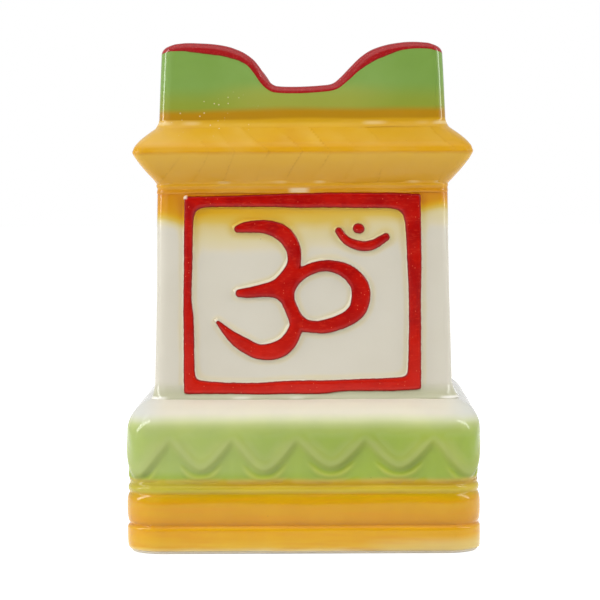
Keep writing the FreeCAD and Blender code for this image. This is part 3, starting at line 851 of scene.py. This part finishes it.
def make_cornice():
    ring = stations(even_cuts(150), 10)
    wobble = waves(10, 80, 22, 17)
    outline = curve_through(LOWER_SLOPE, 4).tolist() + NOSE
    nose_top, nose_half = NOSE[-1]
    fullness = curve_through(FULLNESS, 6).T
    for share in np.linspace(0.05, 0.97, 20):
        half = nose_half - 11.05 * share + np.interp(share, *fullness)
        outline.append((nose_top + 11.4 * share, half))
    outline.append((CORNICE_TOP, CROWN_FOOT_HALF))
    leftward = np.clip(-ring[1][:, 0], 0, 1)
    rows = []
    strokes = []
    for level, half in outline:
        flat = row(ring, half, CORNER, level)
        fade = min(1, (level - SHAFT_TOP) / 3, (CORNICE_TOP - level) / 3)
        stroke = brushed_wedges(ring, flat, level)
        strokes.append(stroke)
        push = unevenness(flat, wobble) * 0.2 + (stroke - 0.5) * 0.14 - 0.5 * leftward
        rows.append(row(ring, half, CORNER, level, push * fade))
    outside_rows = len(rows)
    for level, half in ((CORNICE_TOP, 58), (NOSE_LEVEL, 67), (SHAFT_TOP, 58.2)):
        rows.append(row(ring, half, INNER_CORNER, level))
        strokes.append(np.full(len(ring[0]), 0.5))
    materials = [yellow_glaze, biscuit]
    values = {"stroke": strokes}
    ring_piece("cornice_cast", rows, ["cornice"], materials, outside_rows, values)


def brushed_wedges(ring, flat, level):
    """Overlapping brush dabs along each side: each rises slowly and ends at a slanting edge."""
    along = np.where(np.abs(ring[1][:, 1]) > 0.7, flat[:, 0], flat[:, 1])
    bend = unevenness(flat, waves(6, 60, 25, 61)) * 0.16
    lean = (level - NOSE_LEVEL) / (14 if level > NOSE_LEVEL else -26)
    return (along / 13.4 + lean + bend + 0.12) % 1


# Crown

# The rim as (along the side, level), and how deep the red band is painted below the front's
FRONT_RIM = [
    (-56.5, 222.7), (-52, 223.1), (-46.8, 223), (-39.3, 222.5), (-33, 221.4), (-28.4, 219.8),
    (-25.3, 218.3), (-21.4, 215.4), (-18.4, 211.7), (-15.6, 207.4), (-12.8, 204.7), (-9.6, 203.9),
    (-1.3, 203.75), (7.9, 204.2), (13.4, 205), (17.1, 207.7), (21.5, 212.1), (26, 216.3),
    (31.2, 219.6), (38, 221.8), (45.2, 222.9), (51, 223.1), (56.5, 222.7),
]
HALF_SIDE_RIM = [
    (-56.5, 220.8), (-52, 221.4), (-46, 221.9), (-39.5, 221.8), (-32, 220.6), (-25.5, 217.1),
    (-21, 211.9), (-17.4, 206.9), (-14, 204.4), (-8, 203.8),
]
FRONT_BAND = [
    (-62, 2.4), (-52, 3.6), (-39, 4.6), (-27, 4), (-20, 2.8), (-14, 2), (0, 2),
    (14, 1.7), (20, 2.9), (27, 4.4), (36, 4.4), (46, 2.8), (55, 1.8), (62, 1.9),
]
CORNER_BAND = 2.1


def mirrored(rim):
    return [(-place, level) for place, level in rim[::-1]]


def make_crown():
    reach = CROWN_RIM_HALF - CORNER
    side_rim = HALF_SIDE_RIM + [(0, 203.7)] + mirrored(HALF_SIDE_RIM)
    rims = [FRONT_RIM, side_rim, mirrored(FRONT_RIM), side_rim]
    made = np.random.default_rng(23)
    corner_steps = 10
    turned = np.arange(1, corner_steps) / corner_steps
    upright = [0, 1]
    cuts, alongs, tops, ups, bands = [], [], [], [], []
    for side, rim in enumerate(rims):
        curve = spaced(curve_through(rim, 12), 0.9)
        ways = np.gradient(curve, axis=0)
        ways /= np.linalg.norm(ways, axis=1)[:, None]
        at_corner = np.abs(curve[:, :1]) > reach - 3
        band_knots = np.array(FRONT_BAND)
        if side:
            band_knots[:, 1] = made.uniform(2, 4.4, len(band_knots))
        band_curve = curve_through(band_knots, 8).T
        start = rim[-1][1]
        end = rims[(side + 1) % 4][0][1]
        cuts.append(curve[:, 0] / reach)
        tops += [curve, np.column_stack([np.full(len(turned), reach), start + (end - start) * turned])]
        ups.append(np.where(at_corner, upright, np.column_stack([-ways[:, 1], ways[:, 0]])))
        ups.append(np.tile(upright, (len(turned), 1)))
        bands += [np.interp(curve[:, 0], *band_curve), np.full(len(turned), CORNER_BAND)]
        alongs += [SIDES[side][1]] * (len(curve) + len(turned))
    centres, normals = stations(cuts, corner_steps)
    alongs = np.array(alongs)
    tops, ups, bands = map(np.concatenate, (tops, ups, bands))
    wobble = waves(9, 90, 30, 29)
    slope = (CROWN_RIM_HALF - CROWN_FOOT_HALF) / (CROWN_TOP - CORNICE_TOP)
    rows = []
    paints = []

    def add(inset, depth, lift, corner, painted):
        """A row at a depth below the rim, or at a share of the way up from the crown's foot."""
        height = tops[:, 1] - ups[:, 1] * depth - CORNICE_TOP
        half = CROWN_FOOT_HALF + slope * height * lift - inset
        moved = centres - alongs * (ups[:, 0] * depth / reach)[:, None]
        flat = moved * (half - corner)[:, None] + normals * corner
        levels = CORNICE_TOP + height * lift
        push = unevenness(np.column_stack([flat, levels]), wobble) * 0.15
        rows.append(np.column_stack([flat + normals * push[:, None], levels]))
        paints.append(painted - depth - height * (1 - lift))

    rim_depth = 3.4
    for lift in (0, 0.04, 0.08, 0.13, 0.2, 0.3, 0.4, 0.5, 0.6, 0.7, 0.78, 0.86, 0.93, 1):
        add(0, rim_depth, lift, CORNER, bands)
    nosing = [(0.02, 2.55), (0.14, 1.95), (0.38, 1.38), (0.75, 0.84), (1.22, 0.4), (1.8, 0.12), (2.5, 0)]
    nosing += [(CROWN_WALL - inset, depth) for inset, depth in nosing[-2::-1]]
    for inset, depth in nosing:
        add(inset, depth, 1, CORNER - 0.4 * inset, bands + 2)
    for lift in (1, 0.9, 0.6, 0.3, 0):
        add(CROWN_WALL, rim_depth, lift, INNER_CORNER, bands * 0.6 + 1.4)
    ring_piece("crown_cast", rows, ["crown"], [crown_glaze], values={"paint": paints})


# Slip squeezed out of the joints: sections from the buried back, out and round

FOOT_FILLET = [
    (-0.6, -0.8), (1.5, -1), (1.75, -0.55), (1.45, 0), (1.05, 0.8), (0.68, 1.7), (0.38, 2.9),
    (0.14, 4.2), (-0.05, 5.4), (-0.6, 5),
]
DRIP = [
    (-0.6, -3.2), (-0.1, -4.3), (0.3, -4.2), (0.6, -3.6), (0.55, -3), (0.25, -2.3), (0.3, -1.7),
    (0.7, -1.1), (0.85, -0.5), (0.65, 0.1), (0.75, 0.7), (1.25, 1.2), (1.15, 1.7), (-0.6, 1),
]
CROWN_FILLET = [
    (-0.6, -0.8), (1.4, -1.75), (0.9, -0.95), (0.5, -0.25), (0.26, 0.35), (0.08, 0.95),
    (-0.05, 1.5), (-0.6, 1.2),
]


def slip_ring(name, material, joint, half, section, lump, seed, ridge, fuller):
    """A hand-wiped fillet of slip round a joint, its section given as (out, up) from the joint.

    Here and there, and at the corners, a painted highlight runs along the ridge at this height. On
    the right it stands out more, or less, by the last factor.
    """
    ring = stations(even_cuts(110), 9)
    lumps = waves(14, 70, 12, seed)
    flat = row(ring, half, CORNER, joint)
    swell = unevenness(flat, lumps)
    spill = unevenness(flat + 50, lumps)
    reach = max(out for out, _ in section)
    tallest = max(abs(up) for _, up in section)
    corner = smooth((np.abs(flat[:, :2]).min(1) - half + 7) / 4)
    painted_highlight = np.maximum(0.6 * smooth((swell - 0.6) / 0.6), 0.9 * corner)
    rightward = np.clip(ring[1][:, 0], 0, 1)
    rows = []
    painted_highlights = []
    for out, up in section:
        loose = lump * swell * max(0, out) / reach * (1 - 0.8 * rightward)
        push = out * (1 + (fuller - 1) * rightward * (out > 0)) + loose
        rows.append(row(ring, half, CORNER, joint + up + lump * 0.8 * spill * up / tallest, push))
        painted_highlights.append(painted_highlight * smooth(1.4 - abs(up - ridge) / 0.7))
    ring_piece(name, rows, [name + "_joint"], [material], values={"pale": painted_highlights}, crease=70)


# Raised ornament on the front of the shaft: its height, the width of its rounded edge, how deep
# its foot is sunk in the shaft, and the grid that its outline is cut on

RAISED = 1.7
ROUNDED = 1.3
SUNK = 0.08
CELL = 0.5


def relief_piece(name, field, low, high, nodes, margin):
    """A raised shape on the shaft's front face, closed behind, cut along the edge of a field.

    The field is the distance inside the painted edge. The shape's foot runs beyond it by a margin
    that grows from the first value to the second where the flank faces up and to the left.
    """
    xs = low[0] + np.arange(int(round((high[0] - low[0]) / CELL)) + 1) * CELL
    zs = low[1] + np.arange(int(round((high[1] - low[1]) / CELL)) + 1) * CELL
    count = len(xs)
    grid = np.array([(x, z) for z in zs for x in xs])
    inside = field(grid)
    rise_z, rise_x = np.gradient(inside.reshape(len(zs), count), CELL)
    facing = (rise_x - rise_z).ravel() / math.sqrt(2)
    margins = margin[0] + (margin[1] - margin[0]) * smooth((facing - 0.6) / 0.35)
    foot = inside + margins
    points = []
    numbers = {}

    def vertex(key, place, value, reach):
        if key not in numbers:
            numbers[key] = len(points)
            points.append((place[0], place[1], value, reach))
        return numbers[key]

    faces = []
    rims = []
    for first in (j * count + i for j in range(len(zs) - 1) for i in range(count - 1)):
        corners = [first, first + 1, first + count + 1, first + count]
        if not any(foot[corner] > 0 for corner in corners):
            continue
        loop = []
        cut = []
        for here, there in zip(corners, corners[1:] + corners[:1]):
            if foot[here] > 0:
                loop.append(vertex(here, grid[here], inside[here], margins[here]))
            if (foot[here] > 0) != (foot[there] > 0):
                share = foot[here] / (foot[here] - foot[there])
                share = min(max(share, 0.06), 0.94)
                place = grid[here] + (grid[there] - grid[here]) * share
                reach = margins[here] + (margins[there] - margins[here]) * share
                number = vertex((min(here, there), max(here, there)), place, -reach, reach)
                loop.append(number)
                cut.append((number, foot[here] > 0))
        faces.append(loop)
        for (leaving, left), (entering, _) in zip(cut, cut[1:] + cut[:1]):
            if left:
                rims.append((leaving, entering))
    x, z, value, reach = np.array(points).T
    near = np.clip((value + reach) / (reach + ROUNDED), 0, 1)
    rise = RAISED * np.sqrt(np.clip(1 - (1 - near) ** 2, 0, 1))
    surface = np.column_stack([x, -shaft_half(z), z])
    depth = surface[:, 1] - shaft_push(surface) + SUNK
    front = np.column_stack([x, depth - rise, z])
    back = np.column_stack([x, depth + 0.3, z])
    total = len(points)
    whole = faces + [[index + total for index in face[::-1]] for face in faces]
    whole += [[start, start + total, end + total, end] for start, end in rims]
    values = {"paint": np.tile(value, 2), "wash": np.tile(shaft_wash(surface), 2)}
    make_piece(name, np.vstack([front, back]), whole, nodes, [red_glaze], 0, values, 60)


def strokes_piece(name, strokes, margin):
    knots = np.concatenate(strokes)
    spare = knots[:, 2].max() / 2 + margin[1] + 1.5
    low = knots[:, :2].min(0) - spare
    high = knots[:, :2].max(0) + spare
    relief_piece(name, lambda points: distance_inside(points, strokes), low, high, [], margin)


make_floor_slab()
make_plinth()
make_shaft()
make_cornice()
make_crown()
slip_ring("plinth_slip", cream_glaze, PLINTH_TOP, 65.65, FOOT_FILLET, 0.4, 51, -0.3, 1.7)
slip_ring("cornice_slip", yellow_glaze, SHAFT_TOP, SHAFT_HEAD_HALF, DRIP, 0.45, 53, 0.9, 0.3)
slip_ring("crown_slip", yellow_glaze, CORNICE_TOP, 63, CROWN_FILLET, 0.12, 57, 0.2, 1)
relief_piece("front_frame_relief", frame_field, (-54.8, 67.2), (54.8, 159.2), ["front_frame"], (0.45, 0.75))
strokes_piece("om_sign", [UPPER_BOWL, LOWER_BOWL, LOOP], (0.5, 1.5))
strokes_piece("om_crescent", [CRESCENT], (0.5, 0.9))
strokes_piece("om_dot", [DOT], (0.5, 0.8))


# Camera

EYE = Vector((13, -1200, 169.4))
LOOKING = Vector((-0.01262, 1, -0.05204))
ROLL = math.radians(0.32)


def make_camera():
    data = bpy.data.cameras.new("photo_camera")
    data.sensor_width = 36
    data.lens = 155.6
    camera = placed("photo_camera", data)
    turned = LOOKING.to_track_quat("-Z", "Y") @ Quaternion((0, 0, 1), -ROLL)
    camera.matrix_world = Matrix.LocRotScale(EYE * MM, turned, None)
    bpy.context.scene.camera = camera


# Floor, world and lamps, in metres and watts

def make_floor():
    """A pale floor that shows white where no shadow falls."""
    size = 6
    corners = [(-size, -size, 0), (size, -size, 0), (size, size, 0), (-size, size, 0)]
    mesh = bpy.data.meshes.new("floor")
    mesh.from_pydata(corners, [], [(0, 1, 2, 3)])
    floor = placed("floor", mesh)
    floor.location.z = -0.0002
    material = bpy.data.materials.new("pale_floor")
    nodes = Nodes(material, "OutputMaterial")
    diffuse = nodes.node("BsdfDiffuse", {"Color": (0.86, 0.86, 0.85, 1)}).outputs[0]
    glow = nodes.node("Emission", {"Strength": 0.72}).outputs[0]
    both = nodes.node("AddShader", {0: diffuse, 1: glow}).outputs[0]
    nodes.show_choice(diffuse, both)
    mesh.materials.append(material)


def make_world(fill):
    """An even fill for the lamps, and a white backdrop that is seen and reflected.

    Reflections fade towards the photographer's side of the studio, which is dark.
    """
    world = bpy.data.worlds.new("studio")
    bpy.context.scene.world = world
    nodes = Nodes(world, "OutputWorld")
    light = nodes.node("Background", {"Strength": fill}).outputs[0]
    split = nodes.node("SeparateXYZ", {0: nodes.node("TexCoord").outputs["Generated"]})
    falloff = nodes.step(split.outputs[1], -0.9, 0.1, 0.15, 0.78)
    seen = nodes.value("MAXIMUM", nodes.node("LightPath").outputs["Is Camera Ray"], falloff)
    white = nodes.node("Background", {"Color": (1, 1, 1, 1), "Strength": seen}).outputs[0]
    nodes.show_choice(light, white)


def make_lamp(name, place, aim_level, width, height, power, lean=0):
    """A softbox turned towards the planter's axis, and leaning by some degrees."""
    data = bpy.data.lights.new(name, "AREA")
    data.shape = "RECTANGLE"
    data.size = width
    data.size_y = height
    data.energy = power
    lamp = placed(name, data)
    lamp.location = place
    lamp.rotation_mode = "QUATERNION"
    facing = (Vector((0, 0, aim_level)) - Vector(place)).to_track_quat("-Z", "Y")
    lamp.rotation_quaternion = facing @ Quaternion((0, 0, 1), math.radians(lean))


make_camera()
make_floor()
make_world(0.51)
make_lamp("left_softbox", (-0.6, -0.92, 0.55), 0.12, 0.95, 0.95, 1.35)
make_lamp("right_softbox", (0.88, -0.5, 0.55), 0.12, 0.36, 0.9, 0.6)
make_lamp("left_strip", (-1, -0.25, 0.85), 0.12, 0.07, 1.3, 1.5)
make_lamp("right_strip", (1, -0.25, 0.85), 0.12, 0.06, 1.3, 1.3)
make_lamp("left_glint", (-0.9, -0.37, 0.45), 0.1, 0.17, 0.9, 4.2, -46)
make_lamp("right_glint", (0.9, -0.37, 0.45), 0.1, 0.13, 0.9, 3, 46)
make_lamp("top_softbox", (0, -0.55, 1.05), 0.12, 1, 0.8, 2.3)

view = bpy.context.scene.view_settings
view.view_transform = "Standard"
